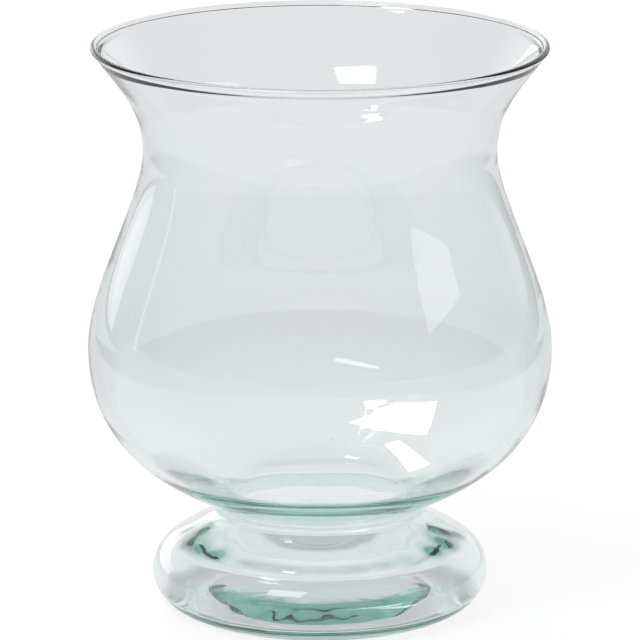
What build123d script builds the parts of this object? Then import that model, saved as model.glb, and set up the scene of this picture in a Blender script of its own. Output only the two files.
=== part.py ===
"""A footed, bell-shaped vase of blown recycled glass: a flared bowl fused to a hollow foot at a tight, open neck."""

import os
from dataclasses import dataclass, replace
from math import atan2, cos, degrees, radians, sin

from build123d import *

# Heights, each measured from the one before it, starting at the table
widest_of_foot = 13.0
foot_to_neck = 22.5
neck_to_belly = 57.7
belly_to_waist = 69.5
waist_to_rim = 37.3

# Outside diameters
foot_diameter = 117.0
neck_diameter = 72.0
belly_diameter = 161.4
waist_diameter = 122.4
rim_diameter = 158.0

# Glass thickness, square to the outside
gutter_wall = 4.5
foot_wall = 2.6
shoulder_wall = 2.8
neck_wall = 6.0
underside_wall = 2.6
belly_wall = 2.4
waist_wall = 2.0
rim_wall = 2.2

# Underside of the base: a narrow ring to stand on, set in from the foot's widest line, round a shallow hollow
heel_inset = 14.2
contact_width = 1.3
hollow_slope_width = 6.5
hollow_height = 2.5

# Floor inside the foot: a gutter all round, set in from the foot's widest line, and a raised middle
gutter_inset = 12.0
floor_slope_width = 15.5
floor_rise = 4.5

# Neck: the rounding of the notch outside, and the slope of the glass on each side of it, degrees from level
neck_rounding = 2.5
bowl_slope = 36.3
shoulder_slope = 49.3

# Where the glass starts to thicken towards the neck, as a share of the curve below it or above it
shoulder_share = 0.4
underside_share = 0.49

# Rim: lean of the flare, degrees from upright
rim_flare = 35.4

# How far the outside keeps its direction on each side of a station before it bends
heel_pull = 7.2
foot_pull_below = 7.7
foot_pull_above = 12.4
shoulder_pull = 8.5
underside_pull = 11.5
belly_pull_below = 40.0
belly_pull_above = 20.7
waist_pull_below = 17.1
waist_pull_above = 16.3
rim_pull = 12.5

# The same for the inside of the thick neck and of the base
throat_pull_below = 10.3
throat_pull_above = 12.0
shoulder_pull_inside = 5.5
underside_pull_inside = 16.0
gutter_pull = 6.0
slope_ease = 0.4

# Heights above the table
neck_height = widest_of_foot + foot_to_neck
belly_height = neck_height + neck_to_belly
waist_height = belly_height + belly_to_waist
vase_height = waist_height + waist_to_rim
floor_height = gutter_wall + floor_rise

# Radii
foot_radius = foot_diameter / 2
neck_radius = neck_diameter / 2
throat_radius = neck_radius - neck_wall
contact_radius = foot_radius - heel_inset
hollow_radius = contact_radius - contact_width
gutter_radius = foot_radius - gutter_inset
lip_radius = rim_wall / 2

os.makedirs("parts", exist_ok=True)


@dataclass
class Station:
    """A place that the outside of the glass passes through on its way up, in the plane of radius and height."""

    radius: float
    height: float
    lean: float
    wall: float = 0.0
    pull_below: float = 0.0
    pull_above: float = 0.0

    @property
    def way(self):
        """The direction of the glass here, leaning outwards from upright."""
        return Vector(sin(radians(self.lean)), cos(radians(self.lean)))

    @property
    def outer(self):
        return Vector(self.radius, self.height)

    @property
    def inner(self):
        """The point of the inside face, one wall in from the outside face."""
        outward = Vector(cos(radians(self.lean)), -sin(radians(self.lean)))
        return self.outer - outward * self.wall


def beside_neck(slope, above, pull):
    """The station where the rounding of the neck runs out into glass of this slope."""
    turn = radians(90 - slope)
    side = 1 if above else -1
    return Station(
        radius=neck_radius + neck_rounding * (1 - cos(turn)),
        height=neck_height + side * neck_rounding * sin(turn),
        lean=side * (90 - slope),
        pull_below=0.0 if above else pull,
        pull_above=pull if above else 0.0,
    )


def parted(lower, upper, share, wall):
    """Two stations with a third between them, a share of the way up, that leaves the outside curve as it was."""
    leave = lower.outer + lower.way * lower.pull_above
    arrive = upper.outer - upper.way * upper.pull_below
    first = lower.outer + (leave - lower.outer) * share
    middle = leave + (arrive - leave) * share
    last = arrive + (upper.outer - arrive) * share
    before = first + (middle - first) * share
    after = middle + (last - middle) * share
    place = before + (after - before) * share
    course = after - before
    between = Station(
        radius=place.X,
        height=place.Y,
        lean=degrees(atan2(course.X, course.Y)),
        wall=wall,
        pull_below=course.length * share,
        pull_above=course.length * (1 - share),
    )
    below = replace(lower, pull_above=lower.pull_above * share)
    above = replace(upper, pull_below=upper.pull_below * (1 - share))
    return below, between, above


def stretch(lower, upper, inside=False):
    """The curve of the glass from one station up to the next, on its outside or its inside face."""
    start, end = (lower.inner, upper.inner) if inside else (lower.outer, upper.outer)
    ease = (end - start).length / (upper.outer - lower.outer).length
    leave = start + lower.way * lower.pull_above * ease
    arrive = end - upper.way * upper.pull_below * ease
    return Bezier(start, leave, arrive, end)


def neck_arc(station):
    """The rounding of the neck from its narrowest line to a station beside it."""
    middle = Vector(neck_radius + neck_rounding, neck_height)
    half_turn = radians(station.lean) / 2
    halfway = middle + Vector(-cos(half_turn), sin(half_turn)) * neck_rounding
    return ThreePointArc((neck_radius, neck_height), halfway, station.outer)


def level_ended(start, end):
    """A curve that leaves its start level and comes to its end level again."""
    reach = Vector((end - start).X * slope_ease, 0)
    return Bezier(start, start + reach, end - reach, end)


# Stations from the table to the rim
heel = Station(contact_radius, 0, 90, pull_above=heel_pull)
widest = Station(foot_radius, widest_of_foot, 0, foot_wall, foot_pull_below, foot_pull_above)
shoulder = beside_neck(shoulder_slope, above=False, pull=shoulder_pull)
underside = beside_neck(bowl_slope, above=True, pull=underside_pull)
belly = Station(belly_diameter / 2, belly_height, 0, belly_wall, belly_pull_below, belly_pull_above)
waist = Station(waist_diameter / 2, waist_height, 0, waist_wall, waist_pull_below, waist_pull_above)
lip_middle = Vector(rim_diameter / 2 - lip_radius, vase_height - lip_radius)
rim = Station(
    radius=lip_middle.X + lip_radius * cos(radians(rim_flare)),
    height=lip_middle.Y - lip_radius * sin(radians(rim_flare)),
    lean=rim_flare,
    wall=rim_wall,
    pull_below=rim_pull,
)
widest, foot_thickens, shoulder = parted(widest, shoulder, shoulder_share, shoulder_wall)
underside, bowl_thins, belly = parted(underside, belly, underside_share, underside_wall)
throat = Vector(throat_radius, neck_height)

# Bowl: open at the flared rim and, through the throat, into the foot
with BuildPart() as bowl:
    with BuildSketch(Plane.XZ):
        with BuildLine():
            Line(throat, (neck_radius, neck_height))
            neck_arc(underside)
            stretch(underside, bowl_thins)
            stretch(bowl_thins, belly)
            stretch(belly, waist)
            stretch(waist, rim)
            ThreePointArc(rim.outer, lip_middle + rim.way * lip_radius, rim.inner)
            stretch(waist, rim, inside=True)
            stretch(belly, waist, inside=True)
            stretch(bowl_thins, belly, inside=True)
            Bezier(
                bowl_thins.inner,
                bowl_thins.inner - bowl_thins.way * underside_pull_inside,
                throat + Vector(0, throat_pull_above),
                throat,
            )
        make_face()
    revolve(axis=Axis.Z)
bowl.part.label = "bowl"
export_step(bowl.part, "parts/bowl.step")

# Foot: a hollow bulb, fused to the bowl all round the neck, on a base that is hollow beneath and raised inside
hollow_edge = Vector(hollow_radius, 0)
hollow_top = Vector(hollow_radius - hollow_slope_width, hollow_height)
gutter = Vector(gutter_radius, gutter_wall)
floor_edge = Vector(gutter_radius - floor_slope_width, floor_height)
with BuildPart() as foot:
    with BuildSketch(Plane.XZ):
        with BuildLine():
            Line(throat, (neck_radius, neck_height))
            neck_arc(shoulder)
            stretch(foot_thickens, shoulder)
            stretch(widest, foot_thickens)
            stretch(heel, widest)
            Line(heel.outer, hollow_edge)
            level_ended(hollow_edge, hollow_top)
            Line(hollow_top, (0, hollow_height))
            Line((0, hollow_height), (0, floor_height))
            Line((0, floor_height), floor_edge)
            level_ended(floor_edge, gutter)
            Bezier(gutter, gutter + Vector(gutter_pull, 0), widest.inner - widest.way * foot_pull_below, widest.inner)
            stretch(widest, foot_thickens, inside=True)
            Bezier(
                foot_thickens.inner,
                foot_thickens.inner + foot_thickens.way * shoulder_pull_inside,
                throat - Vector(0, throat_pull_below),
                throat,
            )
        make_face()
    revolve(axis=Axis.Z)
foot.part.label = "foot"
export_step(foot.part, "parts/foot.step")
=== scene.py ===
"""Looks of a footed, bell-shaped vase of clear recycled glass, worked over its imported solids."""

from typing import NamedTuple

import bpy
import numpy as np
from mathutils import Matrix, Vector


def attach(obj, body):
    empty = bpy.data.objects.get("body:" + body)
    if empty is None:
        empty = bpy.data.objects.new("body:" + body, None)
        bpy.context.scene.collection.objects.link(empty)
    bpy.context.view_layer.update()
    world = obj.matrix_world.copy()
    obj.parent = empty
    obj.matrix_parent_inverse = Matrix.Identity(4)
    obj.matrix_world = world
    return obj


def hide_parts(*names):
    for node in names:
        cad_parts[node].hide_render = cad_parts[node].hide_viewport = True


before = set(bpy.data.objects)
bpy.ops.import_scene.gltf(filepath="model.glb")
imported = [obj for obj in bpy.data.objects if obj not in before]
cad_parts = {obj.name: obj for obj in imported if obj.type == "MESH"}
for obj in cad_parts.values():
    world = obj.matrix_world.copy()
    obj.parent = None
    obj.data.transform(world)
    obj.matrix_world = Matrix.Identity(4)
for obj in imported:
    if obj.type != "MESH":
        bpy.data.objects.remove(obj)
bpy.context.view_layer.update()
scene = bpy.context.scene
draw = np.random.default_rng(41)


class Station(NamedTuple):
    """A place that the outside of the glass passes, and how far it keeps its course below and above."""

    radius: float
    height: float
    lean: float
    pull_below: float
    pull_above: float

    @property
    def place(self):
        return np.array([self.radius, self.height])

    @property
    def course(self):
        """The unit step along glass of this lean from upright: its sine outwards, its cosine up."""
        return np.array([np.sin(np.radians(self.lean)), np.cos(np.radians(self.lean))])


# The vase is worked in millimetres and degrees, and its mesh is in metres
MM = 0.001
COLUMNS = 180

# Outside of the glass: stations from the table up, and the neck's notch with the slopes on each side of it
HEEL = Station(44.3, 0.0, lean=90.0, pull_below=0.0, pull_above=7.2)
WIDEST = Station(58.5, 13.0, lean=0.0, pull_below=7.7, pull_above=12.4)
BELLY = Station(80.7, 93.2, lean=0.0, pull_below=40.0, pull_above=20.7)
WAIST = Station(61.2, 162.7, lean=0.0, pull_below=17.1, pull_above=16.3)
NECK_RADIUS = 36.0
NECK_HEIGHT = 35.5
NECK_ROUNDING = 2.5
SHOULDER_SLOPE = 49.3
SHOULDER_PULL = 8.5
BOWL_SLOPE = 36.3
UNDERSIDE_PULL = 11.5
RIM_RADIUS = 79.0
RIM_HEIGHT = 200.0
RIM_FLARE = 35.4
RIM_PULL = 12.5

# Glass thickness, and the outside radius at which it starts to thicken towards the neck
FOOT_WALL = 2.6
SHOULDER_WALL = 2.8
UNDERSIDE_WALL = 2.6
BELLY_WALL = 2.4
WAIST_WALL = 2.0
RIM_WALL = 1.8
SHOULDER_THICKENS = 52.5
UNDERSIDE_THICKENS = 62.0

# Lip: a bead a little thicker than the wall, its turn past a half circle, and its run into the wall's faces
BEAD = 2.2
BEAD_TURN = 35.0
BEAD_RUN = 3.0
BEAD_LEAVES = 0.3
BEAD_ARRIVES = 0.4

# Inside of the neck, the floor of the foot and the hollow under the base
THROAT_RADIUS = 30.0
THROAT_PULL_BELOW = 10.3
THROAT_PULL_ABOVE = 12.0
SHOULDER_PULL_INSIDE = 5.5
UNDERSIDE_PULL_INSIDE = 16.0
GUTTER_RADIUS = 46.5
GUTTER_HEIGHT = 4.5
GUTTER_PULL = 6.0
FLOOR_EDGE = 31.0
FLOOR_HEIGHT = 9.0
HOLLOW_OUTER = 43.0
HOLLOW_INNER = 36.5
HOLLOW_HEIGHT = 2.5
SLOPE_EASE = 0.4

# Waves that the blowing left, at most this deep: outside, inside down to the throat, in the foot and base
WAVE_OUTSIDE = 0.05
WAVE_AT_LIP = 0.04
WAVE_AT_BELLY = 0.10
WAVE_AT_BOTTOM = 0.22
WAVE_IN_FOOT = 0.2
WAVE_IN_BASE = 0.5

# Their make-up: how many go round, how far they slant along the glass, and the calm middle of the base
SLOW_WAVES = (1, 2, 3, 4, 5)
SLOW_SLANT = 1.5
SLOW_SHARE = 0.7
QUICK_WAVES = (8, 11, 15, 19, 26)
QUICK_SLANT = 4.0
QUICK_SHARE = 0.3
SLANT_LENGTH = 100
WAVE_PEAK = 1.5
CALM_MIDDLE = 34.0

# Glass: how it bends light, and the green that it takes on with depth
BENDING = 1.52
GREEN = (0.35, 0.675, 0.61, 1)
GREEN_DENSITY = 29.0

# Cords, the streaks in the glass: how fine across, along and up, how restless, how deep in metres, and tone
CORD_SCALE = (9, 9, 45)
CORD_DETAIL = 3.0
CORD_UNREST = 0.6
CORD_DEPTH = 0.00012
CORD_TONE = (0.98, 0.995, 0.99, 1)
CLEAR_TONE = (1, 1, 1, 1)

# Seeds, the small bubbles: how close their places lie, how few of the places hold one, their size and tone
SEED_SCALE = 250.0
SEED_RARITY = 0.985
SEED_SIZE = 0.1
SEED_TONE = (0.5, 0.56, 0.54, 1)


def curve(start, leave, arrive, end, steps):
    """A cubic from start to end, with the four points weighted by the terms of ((1 - t) + t) cubed."""
    t = np.linspace(0, 1, steps)[:, None]
    start, leave, arrive, end = (np.asarray(p, float) for p in (start, leave, arrive, end))
    return (1 - t) ** 3 * start + 3 * (1 - t) ** 2 * t * leave + 3 * (1 - t) * t**2 * arrive + t**3 * end


def stretch(lower, upper, steps):
    """The outside of the glass between two stations: a cubic that keeps each one's course for its pull."""
    leave = lower.place + lower.course * lower.pull_above
    arrive = upper.place - upper.course * upper.pull_below
    return curve(lower.place, leave, arrive, upper.place, steps)


def beside_neck(slope, side, pull):
    """The station where the rounding of the neck, a circle, runs out into glass of this slope."""
    turn = np.radians(90 - slope)
    radius = NECK_RADIUS + NECK_ROUNDING * (1 - np.cos(turn))
    height = NECK_HEIGHT + side * NECK_ROUNDING * np.sin(turn)
    return Station(radius, height, side * (90 - slope), pull, pull)


def circle(middle, radius, first, last, steps):
    """Points of a circle between two angles, degrees from the way outwards: cosine out and sine up."""
    angle = np.radians(np.linspace(first, last, steps))
    return np.array(middle) + radius * np.stack([np.cos(angle), np.sin(angle)], 1)


def set_in(outside, first_wall, last_wall):
    """The inside face: the outside moved square to itself by a wall that eases from first to last."""
    way = np.gradient(outside, axis=0)
    way /= np.linalg.norm(way, axis=1)[:, None]
    share = np.linspace(0, 1, len(outside))
    wall = first_wall + (last_wall - first_wall) * share * share * (3 - 2 * share)
    return outside - np.stack([way[:, 1], -way[:, 0]], 1) * wall[:, None], way


def level_ended(start, end, steps):
    """A slope that leaves its start level and comes to its end level again: a cubic with level pulls."""
    reach = np.array([(end[0] - start[0]) * SLOPE_EASE, 0])
    return curve(start, np.array(start) + reach, np.array(end) - reach, end, steps)


def run_out(start, turn, end, way):
    """A short cubic from the bead into a face of the wall, which joins both of them without a kink."""
    leave = np.array([np.sin(np.radians(turn)), -np.cos(np.radians(turn))])
    arrive = end + way * BEAD_RUN * BEAD_ARRIVES
    return curve(start, start + leave * BEAD_RUN * BEAD_LEAVES, arrive, end, steps=10)


def chained(*parts):
    """The parts one after the other, without the points that they share."""
    return np.concatenate([parts[0]] + [part[1:] for part in parts[1:]])


def outline():
    """Half of the vase's section, curves joined end to end, and the depth of the waves at each point of it.

    It runs from the axis under the base, up the outside, over the lip and down the inside to the axis.
    """
    shoulder = beside_neck(SHOULDER_SLOPE, -1, SHOULDER_PULL)
    underside = beside_neck(BOWL_SLOPE, 1, UNDERSIDE_PULL)
    notch = (NECK_RADIUS + NECK_ROUNDING, NECK_HEIGHT)
    lip = BEAD / 2
    lip_middle = np.array([RIM_RADIUS - lip, RIM_HEIGHT - lip])
    rim_point = circle(lip_middle, RIM_WALL / 2, -RIM_FLARE, -RIM_FLARE, steps=1)[0]
    rim = Station(*rim_point, RIM_FLARE, RIM_PULL, 0.0)

    heel_up = stretch(HEEL, WIDEST, steps=26)
    foot_up = stretch(WIDEST, shoulder, steps=36)
    notch_below = circle(notch, NECK_ROUNDING, 270 - SHOULDER_SLOPE, 180, steps=10)
    notch_above = circle(notch, NECK_ROUNDING, 180, 90 + BOWL_SLOPE, steps=10)
    bowl_up = stretch(underside, BELLY, steps=56)
    belly_up = stretch(BELLY, WAIST, steps=40)
    waist_up = stretch(WAIST, rim, steps=40)

    foot_in, foot_way = set_in(foot_up[foot_up[:, 0] >= SHOULDER_THICKENS], FOOT_WALL, SHOULDER_WALL)
    bowl_in, bowl_way = set_in(bowl_up[bowl_up[:, 0] >= UNDERSIDE_THICKENS], UNDERSIDE_WALL, BELLY_WALL)
    belly_in, _ = set_in(belly_up, BELLY_WALL, WAIST_WALL)
    waist_in, waist_way = set_in(waist_up, WAIST_WALL, RIM_WALL)

    bead = circle(lip_middle, lip, -RIM_FLARE - BEAD_TURN, 180 - RIM_FLARE + BEAD_TURN, steps=34)
    below = np.linalg.norm(waist_up - waist_up[-1], axis=1) > BEAD_RUN
    waist_up, waist_in, waist_way = waist_up[below], waist_in[below], waist_way[below]
    bead_out = run_out(bead[0], -RIM_FLARE - BEAD_TURN, waist_up[-1], waist_way[-1])[::-1]
    bead_in = run_out(bead[-1], -RIM_FLARE + BEAD_TURN, waist_in[-1], waist_way[-1])

    throat = np.array([THROAT_RADIUS, NECK_HEIGHT])
    upright = np.array([0.0, 1.0])
    throat_down = curve(
        bowl_in[0],
        bowl_in[0] - bowl_way[0] * UNDERSIDE_PULL_INSIDE,
        throat + upright * THROAT_PULL_ABOVE,
        throat,
        steps=36,
    )
    throat_under = curve(
        throat,
        throat - upright * THROAT_PULL_BELOW,
        foot_in[-1] + foot_way[-1] * SHOULDER_PULL_INSIDE,
        foot_in[-1],
        steps=26,
    )
    gutter = (GUTTER_RADIUS, GUTTER_HEIGHT)
    heel_in = curve(
        foot_in[0],
        foot_in[0] - upright * WIDEST.pull_below,
        (GUTTER_RADIUS + GUTTER_PULL, GUTTER_HEIGHT),
        gutter,
        steps=28,
    )
    floor_edge = (FLOOR_EDGE, FLOOR_HEIGHT)
    hollow_edge = (HOLLOW_OUTER, 0)
    hollow_top = (HOLLOW_INNER, HOLLOW_HEIGHT)
    outside = chained(heel_up, foot_up, notch_below, notch_above, bowl_up, belly_up, waist_up, bead_out)

    # Each part of the section with the depth of the waves at its start and at its end
    parts = (
        (np.linspace((0, HOLLOW_HEIGHT), hollow_top, 8), 0, WAVE_IN_BASE),
        (level_ended(hollow_top, hollow_edge, steps=18), WAVE_IN_BASE, 0),
        (np.linspace(hollow_edge, HEEL.place, 4), 0, 0),
        (outside, WAVE_OUTSIDE, WAVE_OUTSIDE),
        (bead, WAVE_OUTSIDE, WAVE_AT_LIP),
        (chained(bead_in, waist_in[::-1], belly_in[::-1]), WAVE_AT_LIP, WAVE_AT_BELLY),
        (chained(bowl_in[::-1], throat_down), WAVE_AT_BELLY, WAVE_AT_BOTTOM),
        (chained(throat_under, foot_in[::-1]), WAVE_AT_BOTTOM, WAVE_IN_FOOT),
        (heel_in, WAVE_IN_FOOT, WAVE_IN_BASE),
        (level_ended(gutter, floor_edge, steps=24), WAVE_IN_BASE, WAVE_IN_BASE),
        (np.linspace(floor_edge, (0, FLOOR_HEIGHT), 8), WAVE_IN_BASE, 0),
    )
    waves = chained(*(np.linspace(first, last, len(part)) for part, first, last in parts))
    return chained(*(part for part, _, _ in parts)), waves


def ripple(section, angle, orders, slant):
    """Waves of about -1 to 1: cosines of whole orders round the axis, with phases that slant along it."""
    steps = np.linalg.norm(np.diff(section, axis=0, prepend=section[:1]), axis=1)
    along = np.cumsum(steps) / SLANT_LENGTH
    phase = draw.uniform(0, 2 * np.pi, (len(orders), 1, 1))
    slants = draw.uniform(-slant, slant, (len(orders), 1, 1))
    turned = np.array(orders)[:, None, None] * angle + phase + 2 * np.pi * slants * along[None, :, None]
    return np.cos(turned).mean(0) * np.sqrt(len(orders)) / WAVE_PEAK


def spun(section, waves, columns):
    """The section carried round the axis, each point first moved into the glass, square to it, by its wave.

    Row i, column j of the grid is the section's point i turned by j steps.
    """
    angle = np.linspace(0, 2 * np.pi, columns, endpoint=False)
    way = np.gradient(section, axis=0)
    way /= np.linalg.norm(way, axis=1)[:, None]
    slow = ripple(section, angle, SLOW_WAVES, SLOW_SLANT)
    quick = ripple(section, angle, QUICK_WAVES, QUICK_SLANT)
    shape = np.clip(SLOW_SHARE * slow + QUICK_SHARE * quick, -1, 1)
    calm = np.clip(section[:, :1] / CALM_MIDDLE, 0, 1) ** 3
    depth = waves[:, None] * calm * (1 + shape) / 2
    radius = section[:, :1] - way[:, 1:] * depth
    height = section[:, 1:] + way[:, :1] * depth
    return np.stack([radius * np.cos(angle), radius * np.sin(angle), height], 2)


def grid_faces(rows, columns):
    """Four-sided faces between neighbouring rows, closed round the axis, and a fan at each end.

    The two poles of the fans are the points that follow the grid's own.
    """
    i = np.arange(rows - 1)[:, None] * columns
    j = np.arange(columns)[None, :]
    k = (j + 1) % columns
    quads = np.stack([i + j, i + k, i + columns + k, i + columns + j], 2).reshape(-1, 4)
    j, k = j[0], k[0]
    last_row = (rows - 1) * columns
    first_fan = np.stack([np.full(columns, rows * columns), k, j], 1)
    last_fan = np.stack([np.full(columns, rows * columns + 1), last_row + j, last_row + k], 1)
    return quads.tolist() + first_fan.tolist() + last_fan.tolist()


def make_piece(name, points, faces):
    """A smooth mesh object at the origin."""
    mesh = bpy.data.meshes.new(name)
    mesh.from_pydata(points.tolist(), [], faces)
    mesh.polygons.foreach_set("use_smooth", np.ones(len(mesh.polygons), bool))
    mesh.update()
    piece = bpy.data.objects.new(name, mesh)
    scene.collection.objects.link(piece)
    return piece


def feed(tree, socket, value):
    """Link an output to this socket, or set the socket to a plain value."""
    if isinstance(value, bpy.types.NodeSocket):
        tree.links.new(value, socket)
    else:
        socket.default_value = value


def add_math(tree, operation, first, second):
    """A Math node whose two inputs are sockets or numbers."""
    node = tree.nodes.new("ShaderNodeMath")
    node.operation = operation
    feed(tree, node.inputs[0], first)
    feed(tree, node.inputs[1], second)
    return node.outputs[0]


def add_ramp(tree, value, low, high, start, end):
    """A smooth step from start to end as value goes from low to high."""
    node = tree.nodes.new("ShaderNodeMapRange")
    node.interpolation_type = "SMOOTHSTEP"
    for name, number in (("From Min", low), ("From Max", high), ("To Min", start), ("To Max", end)):
        node.inputs[name].default_value = number
    tree.links.new(value, node.inputs["Value"])
    return node.outputs[0]


def add_choice(tree, factor, first, second):
    """The first number or socket where factor is 0 and the second where it is 1."""
    node = tree.nodes.new("ShaderNodeMix")
    node.data_type = "FLOAT"
    tree.links.new(factor, node.inputs[0])
    feed(tree, node.inputs[2], first)
    feed(tree, node.inputs[3], second)
    return node.outputs[0]


def add_tint(tree, factor, first, second):
    """The first colour or socket where factor is 0 and the second where it is 1."""
    node = tree.nodes.new("ShaderNodeMix")
    node.data_type = "RGBA"
    tree.links.new(factor, node.inputs[0])
    feed(tree, node.inputs[6], first)
    feed(tree, node.inputs[7], second)
    return node.outputs[2]


def add_either(tree, factor, first, second):
    """The first shader where factor is 0 and the second where it is 1."""
    node = tree.nodes.new("ShaderNodeMixShader")
    for slot, output in enumerate((factor, first, second)):
        tree.links.new(output, node.inputs[slot])
    return node.outputs[0]


def make_glass():
    """Clear glass that goes grey-green with depth, with faint cords drawn out level and a few seeds."""
    material = bpy.data.materials.new("recycled_glass")
    material.use_nodes = True
    tree = material.node_tree
    nodes, links = tree.nodes, tree.links
    shader = nodes["Principled BSDF"]
    place = nodes.new("ShaderNodeTexCoord").outputs["Object"]

    drawn = nodes.new("ShaderNodeMapping")
    drawn.inputs["Scale"].default_value = CORD_SCALE
    links.new(place, drawn.inputs["Vector"])
    cords = nodes.new("ShaderNodeTexNoise")
    cords.inputs["Scale"].default_value = 1.0
    cords.inputs["Detail"].default_value = CORD_DETAIL
    cords.inputs["Distortion"].default_value = CORD_UNREST
    links.new(drawn.outputs["Vector"], cords.inputs["Vector"])
    tone = add_tint(tree, cords.outputs["Fac"], CLEAR_TONE, CORD_TONE)
    swell = nodes.new("ShaderNodeBump")
    swell.inputs["Strength"].default_value = 1.0
    swell.inputs["Distance"].default_value = CORD_DEPTH
    links.new(cords.outputs["Fac"], swell.inputs["Height"])
    links.new(swell.outputs["Normal"], shader.inputs["Normal"])

    places = nodes.new("ShaderNodeTexVoronoi")
    places.inputs["Scale"].default_value = SEED_SCALE
    links.new(place, places.inputs["Vector"])
    chance = nodes.new("ShaderNodeSeparateColor")
    links.new(places.outputs["Color"], chance.inputs["Color"])
    chosen = add_math(tree, "GREATER_THAN", chance.outputs["Red"], SEED_RARITY)
    round_dot = add_ramp(tree, places.outputs["Distance"], SEED_SIZE / 2, SEED_SIZE, 1.0, 0.0)
    seed = add_math(tree, "MULTIPLY", chosen, round_dot)
    links.new(add_tint(tree, seed, tone, SEED_TONE), shader.inputs["Base Color"])

    shader.inputs["Roughness"].default_value = 0.0
    shader.inputs["IOR"].default_value = BENDING
    shader.inputs["Transmission Weight"].default_value = 1.0
    depth = nodes.new("ShaderNodeVolumeAbsorption")
    depth.inputs["Color"].default_value = GREEN
    depth.inputs["Density"].default_value = GREEN_DENSITY
    links.new(depth.outputs["Volume"], nodes["Material Output"].inputs["Volume"])
    return material


section, waves = outline()
body = spun(section[1:-1], waves[1:-1], COLUMNS)
poles = np.array([[0, 0, section[0, 1]], [0, 0, section[-1, 1]]])
points = np.concatenate([body.reshape(-1, 3), poles]) * MM
vase = make_piece("vase_glass", points, grid_faces(len(body), COLUMNS))
vase.data.materials.append(make_glass())
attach(vase, "root")
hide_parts("bowl", "foot")

# Stage, in metres. Floor: its own grey, and the light that the camera finds added to it, near and far
FLOOR_REACH = 20.0
FLOOR_GREY = 0.35
FLOOR_LIFT = 0.84
FLOOR_LIFT_FROM = 0.08
FLOOR_LIFT_TO = 0.45

# Floor seen straight through the glass: near and far from the vase's axis, and the shade under the foot
NEAR_THROUGH_GLASS = 0.93
FAR_THROUGH_GLASS = 0.86
THROUGH_FROM = 0.22
THROUGH_TO = 0.42
SHADE_UNDER_FOOT = 0.62
SHADE_FROM = 0.052
SHADE_TO = 0.078

# Floor seen after a turn inside the glass, near the axis and far from it
NEAR_TURNED_IN_GLASS = 0.95
FAR_TURNED_IN_GLASS = 0.75
TURNED_FROM = 0.12
TURNED_TO = 0.3

# Floor in reflections: a table, the white paper on it that the vase stands on, and a white sweep behind
TABLE_IN_REFLECTION = 0.22
PAPER_IN_REFLECTION = 0.85
PAPER_TINT = (0.995, 0.985, 1, 1)
PAPER_HALF_WIDTH = 0.38
PAPER_FRONT = -0.62
SWEEP_MIDDLE = -0.25
SWEEP_HALF_WIDTH = 0.95
SWEEP_FRONT = 0.5
SOFT_EDGE = 0.1

# Room: in reflections, after a turn inside the glass, and its ceiling seen straight through the glass
ROOM_IN_REFLECTION = 0.22
WALL_BEHIND = 0.85
WALL_FROM = 0.5
ROOM_TURNED_IN_GLASS = 0.06
WALL_TURNED_IN_GLASS = 1.0
WALL_TURNED_FROM = 0.1
WALL_TO = 0.85
CEILING_THROUGH_GLASS = 0.06
CEILING_FROM = 0.45
CEILING_TO = 0.7

# Lamps: what the softboxes face, how high the panels lie, and the card that hides the panels from the flare
LAMP_AIM = (0, 0, 0.1)
PANEL_HEIGHT = 0.002
HOOD_HEIGHT = 0.1
HOOD_CORNERS = (
    (-0.030, -0.150),
    (0.005, -0.0823),
    (0.030, -0.0768),
    (0.048, -0.067),
    (0.066, -0.050),
    (0.149, -0.110),
    (0.106, -0.190),
)

# Camera
CAMERA_PLACE = (0.0, -2.0, 0.603)
CAMERA_AIM = (0, 0, 0.10207)
CAMERA_SENSOR = 36.0
CAMERA_LENS = 333.9
CAMERA_REACH = 100.0
BOUNCES = 48


def add_white(tree, x, y):
    """1 on the white paper and on the white sweep behind, 0 on the bare table, with soft edges."""
    aside = add_math(tree, "ABSOLUTE", x, 0.0)
    within = add_ramp(tree, aside, PAPER_HALF_WIDTH, PAPER_HALF_WIDTH + SOFT_EDGE, 1.0, 0.0)
    behind = add_ramp(tree, y, PAPER_FRONT - SOFT_EDGE, PAPER_FRONT, 0.0, 1.0)
    on_paper = add_math(tree, "MULTIPLY", within, behind)
    from_middle = add_math(tree, "ABSOLUTE", add_math(tree, "SUBTRACT", x, SWEEP_MIDDLE), 0.0)
    across = add_ramp(tree, from_middle, SWEEP_HALF_WIDTH, SWEEP_HALF_WIDTH + SOFT_EDGE, 1.0, 0.0)
    beyond = add_ramp(tree, y, SWEEP_FRONT, SWEEP_FRONT + SOFT_EDGE, 0.0, 1.0)
    return add_math(tree, "MAXIMUM", on_paper, add_math(tree, "MULTIPLY", across, beyond))


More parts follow.
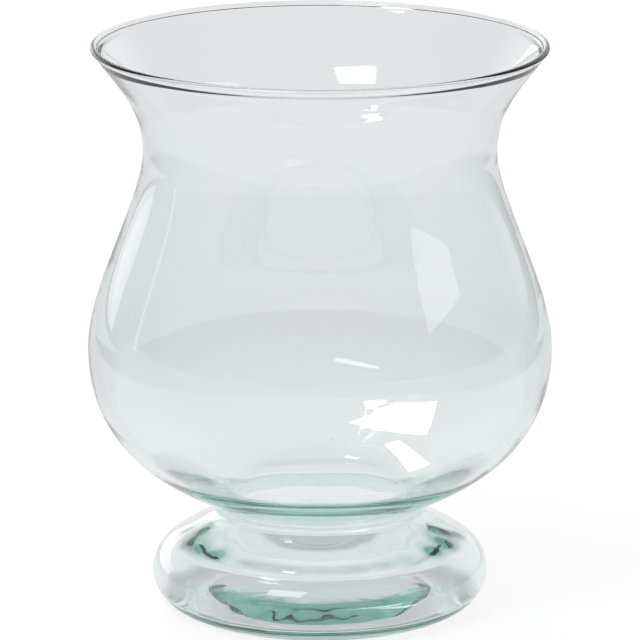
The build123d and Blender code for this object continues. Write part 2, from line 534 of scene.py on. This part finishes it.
def make_floor():
    """A white floor that keeps the shadow, and that glass shows as a paper on a table or a pale ground."""
    mesh = bpy.data.meshes.new("floor")
    corners = np.array([(-1, -1, 0), (1, -1, 0), (1, 1, 0), (-1, 1, 0)]) * FLOOR_REACH
    mesh.from_pydata(corners.tolist(), [], [range(len(corners))])
    floor = bpy.data.objects.new("floor", mesh)
    scene.collection.objects.link(floor)
    material = bpy.data.materials.new("table_top")
    material.use_nodes = True
    tree = material.node_tree
    tree.nodes.clear()
    out = tree.nodes.new("ShaderNodeOutputMaterial")
    path = tree.nodes.new("ShaderNodeLightPath").outputs
    place = tree.nodes.new("ShaderNodeTexCoord").outputs["Object"]
    split = tree.nodes.new("ShaderNodeSeparateXYZ")
    tree.links.new(place, split.inputs[0])
    length = tree.nodes.new("ShaderNodeVectorMath")
    length.operation = "LENGTH"
    tree.links.new(place, length.inputs[0])
    far = length.outputs["Value"]

    matt = tree.nodes.new("ShaderNodeBsdfDiffuse")
    matt.inputs["Color"].default_value = (FLOOR_GREY, FLOOR_GREY, FLOOR_GREY, 1)
    lift = tree.nodes.new("ShaderNodeEmission")
    lightness = add_ramp(tree, far, FLOOR_LIFT_FROM, FLOOR_LIFT_TO, FLOOR_LIFT, 1.0)
    tree.links.new(lightness, lift.inputs["Strength"])
    lifted = tree.nodes.new("ShaderNodeAddShader")
    tree.links.new(matt.outputs[0], lifted.inputs[0])
    tree.links.new(lift.outputs[0], lifted.inputs[1])

    on_white = add_white(tree, split.outputs["X"], split.outputs["Y"])
    mirrored = add_choice(tree, on_white, TABLE_IN_REFLECTION, PAPER_IN_REFLECTION)
    ground = add_ramp(tree, far, THROUGH_FROM, THROUGH_TO, NEAR_THROUGH_GLASS, FAR_THROUGH_GLASS)
    shade = add_ramp(tree, far, SHADE_FROM, SHADE_TO, SHADE_UNDER_FOOT, 1.0)
    straight = add_math(tree, "MULTIPLY", ground, shade)
    bent = add_ramp(tree, far, TURNED_FROM, TURNED_TO, NEAR_TURNED_IN_GLASS, FAR_TURNED_IN_GLASS)
    turned = add_math(tree, "GREATER_THAN", path["Glossy Depth"], 0.5)
    through = add_choice(tree, turned, straight, bent)
    plain = tree.nodes.new("ShaderNodeEmission")
    plain.inputs["Color"].default_value = PAPER_TINT
    shown = add_choice(tree, path["Is Transmission Ray"], mirrored, through)
    tree.links.new(shown, plain.inputs["Strength"])

    by_glass = add_math(tree, "MAXIMUM", path["Is Transmission Ray"], path["Is Glossy Ray"])
    seen = add_either(tree, path["Is Camera Ray"], matt.outputs[0], lifted.outputs[0])
    tree.links.new(add_either(tree, by_glass, seen, plain.outputs[0]), out.inputs["Surface"])
    mesh.materials.append(material)
    return floor


def make_world():
    """White to the camera and, below the ceiling, straight through the glass.

    Reflections and the floor find a dim room with a pale wall behind.
    Sight that turns inside the glass finds a darker room with a white wall.
    """
    world = bpy.data.worlds.new("studio")
    world.use_nodes = True
    scene.world = world
    tree = world.node_tree
    background = tree.nodes["Background"]
    path = tree.nodes.new("ShaderNodeLightPath").outputs
    split = tree.nodes.new("ShaderNodeSeparateXYZ")
    tree.links.new(tree.nodes.new("ShaderNodeTexCoord").outputs["Generated"], split.inputs[0])
    y, z = split.outputs["Y"], split.outputs["Z"]
    mirrored = add_ramp(tree, y, WALL_FROM, WALL_TO, ROOM_IN_REFLECTION, WALL_BEHIND)
    bent = add_ramp(tree, y, WALL_TURNED_FROM, WALL_TO, ROOM_TURNED_IN_GLASS, WALL_TURNED_IN_GLASS)
    room = add_choice(tree, path["Is Transmission Ray"], mirrored, bent)
    turned = add_math(tree, "GREATER_THAN", path["Glossy Depth"], 0.5)
    roomward = add_math(tree, "MAXIMUM", turned, path["Is Diffuse Ray"])
    ceiling = add_ramp(tree, z, CEILING_FROM, CEILING_TO, 1.0, CEILING_THROUGH_GLASS)
    straight = add_choice(tree, path["Is Camera Ray"], ceiling, 1.0)
    background.inputs["Color"].default_value = (1, 1, 1, 1)
    tree.links.new(add_choice(tree, roomward, straight, room), background.inputs["Strength"])


def make_lamp(name, size, radiance):
    """A rectangular lamp, out of the camera's sight, with a power that gives its face this radiance."""
    light = bpy.data.lights.new(name, "AREA")
    light.shape = "RECTANGLE"
    light.size, light.size_y = size
    light.energy = radiance * np.pi * size[0] * size[1]
    lamp = bpy.data.objects.new(name, light)
    lamp.visible_camera = False
    lamp.visible_transmission = False
    scene.collection.objects.link(lamp)
    return lamp


def make_softbox(name, turn, rise, distance, size, radiance, seen_through=False):
    """A lamp that faces the vase from an angle round it, 0 in front and 90 on the right, and a rise."""
    softbox = make_lamp(name, size, radiance)
    turn, rise = np.radians([turn, rise])
    away = Vector((np.sin(turn) * np.cos(rise), -np.cos(turn) * np.cos(rise), np.sin(rise)))
    softbox.location = Vector(LAMP_AIM) + away * distance
    softbox.rotation_euler = (-away).to_track_quat("-Z", "Y").to_euler()
    softbox.visible_transmission = seen_through


def lay_panel(name, place, turn, size, radiance):
    """A lamp that lies on the table, faces up and lights nothing but the glass that mirrors it."""
    panel = make_lamp(name, size, radiance)
    panel.location = (*place, PANEL_HEIGHT)
    panel.rotation_euler = (np.pi, 0, np.radians(turn))
    panel.visible_diffuse = False


def make_hood(name, corners, height):
    """A white card over the panels, which keeps them out of the mirror of the flare."""
    mesh = bpy.data.meshes.new(name)
    mesh.from_pydata([(*corner, height) for corner in corners], [], [range(len(corners))])
    material = bpy.data.materials.new("white_card")
    material.use_nodes = True
    tree = material.node_tree
    tree.nodes.clear()
    glow = tree.nodes.new("ShaderNodeEmission")
    glow.inputs["Strength"].default_value = PAPER_IN_REFLECTION
    tree.links.new(glow.outputs[0], tree.nodes.new("ShaderNodeOutputMaterial").inputs["Surface"])
    mesh.materials.append(material)
    hood = bpy.data.objects.new(name, mesh)
    hood.visible_camera = False
    hood.visible_diffuse = False
    hood.visible_transmission = False
    hood.visible_shadow = False
    scene.collection.objects.link(hood)
    return hood


make_floor()
make_hood("panel_hood", HOOD_CORNERS, HOOD_HEIGHT)
make_world()
make_softbox("softbox_front_left", turn=-27, rise=38.8, distance=0.63, size=(0.26, 0.22), radiance=5.5)
make_softbox("lamp_overhead", -97, 71, distance=1.9, size=(0.3, 0.25), radiance=8.0, seen_through=True)
lay_panel("panel_right", (0.175, -0.232), turn=-30, size=(0.20, 0.145), radiance=9.0)
lay_panel("panel_by_foot", (0.077, -0.102), turn=8, size=(0.02, 0.075), radiance=9.0)
make_softbox("strip_behind", turn=-165, rise=35, distance=2.0, size=(0.2, 0.7), radiance=3.0)
make_softbox("softbox_right", turn=70, rise=21.5, distance=2.2, size=(0.9, 0.26), radiance=2.0)
make_softbox("softbox_left_behind", turn=-146, rise=6, distance=2.2, size=(1.6, 0.6), radiance=1.0)
make_softbox("strip_left", turn=-103, rise=8, distance=2.2, size=(0.08, 0.6), radiance=1.2)

eye = bpy.data.cameras.new("camera")
eye.sensor_width = CAMERA_SENSOR
eye.lens = CAMERA_LENS
eye.clip_end = CAMERA_REACH
camera = bpy.data.objects.new("camera", eye)
camera.location = CAMERA_PLACE
camera.rotation_euler = (Vector(CAMERA_AIM) - camera.location).to_track_quat("-Z", "Y").to_euler()
scene.collection.objects.link(camera)
scene.camera = camera

scene.view_settings.view_transform = "Standard"
scene.cycles.max_bounces = BOUNCES
scene.cycles.transmission_bounces = BOUNCES
scene.cycles.glossy_bounces = BOUNCES
